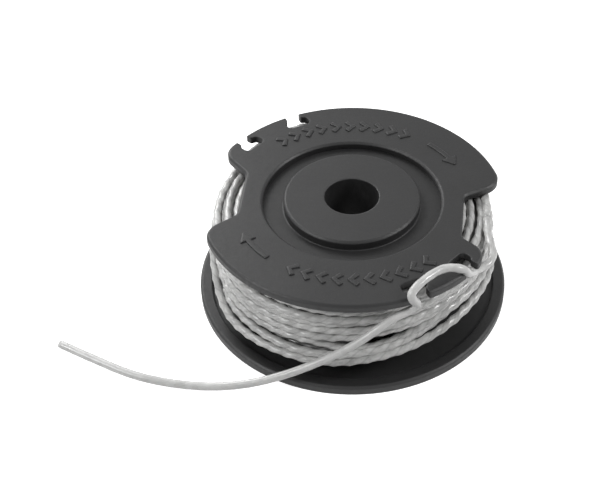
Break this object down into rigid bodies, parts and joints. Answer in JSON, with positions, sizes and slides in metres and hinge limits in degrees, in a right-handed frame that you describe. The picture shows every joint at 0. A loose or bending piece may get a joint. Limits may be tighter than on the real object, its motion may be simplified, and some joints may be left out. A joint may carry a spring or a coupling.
{
  "type": "trimmer line spool",
  "caption": "Replacement spool for a string trimmer: flanged hub wound with nylon line, line end hooked through a notch in the flange.",
  "frame": {"origin": "on the spool's axis, in the plane of the lower flange's underside", "axes": "+Z along the spool's axis towards the upper flange; +X to the right and -Y towards the viewer as pictured; the free line end leaves towards -X"},
  "size_m": [0.0918, 0.0667, 0.026],
  "materials": {
    "black_nylon": "fine moulded grain",
    "line_nylon": "semi-gloss extruded line"
  },
  "bodies": {
    "root": {"spool_body": "black_nylon", "upper_flange": "black_nylon", "line_core": "line_nylon", "line_outer_turns": "line_nylon", "line_tail": "line_nylon", "line_anchor_end": "line_nylon"}
  },
  "joints": []
}
